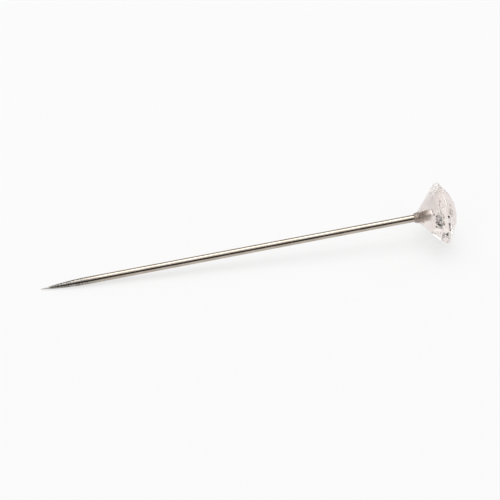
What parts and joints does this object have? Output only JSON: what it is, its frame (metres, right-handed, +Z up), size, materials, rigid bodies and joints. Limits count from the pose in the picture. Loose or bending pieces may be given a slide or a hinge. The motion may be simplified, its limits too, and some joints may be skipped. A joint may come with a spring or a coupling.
{
  "type": "diamond head pin",
  "caption": "Straight steel pin with a long ground point and a clear brilliant-cut plastic head, for corsages, boutonnieres, ribbon and notice boards.",
  "frame": {"origin": "centre of the bounding box in plan, on the surface that the pin lies on", "axes": "+Z up; +X along the pin from the point towards the head, which tilts up because the head is wider than the point"},
  "size_m": [0.0534, 0.0078, 0.0078],
  "materials": {
    "wire": "bright plated drawn steel, ground at the point",
    "diamond_head": "clear moulded acrylic, polished facets",
    "adhesive": "clear cured adhesive"
  },
  "bodies": {
    "root": {"wire": "wire", "diamond_head": "diamond_head", "adhesive": "adhesive"}
  },
  "joints": []
}
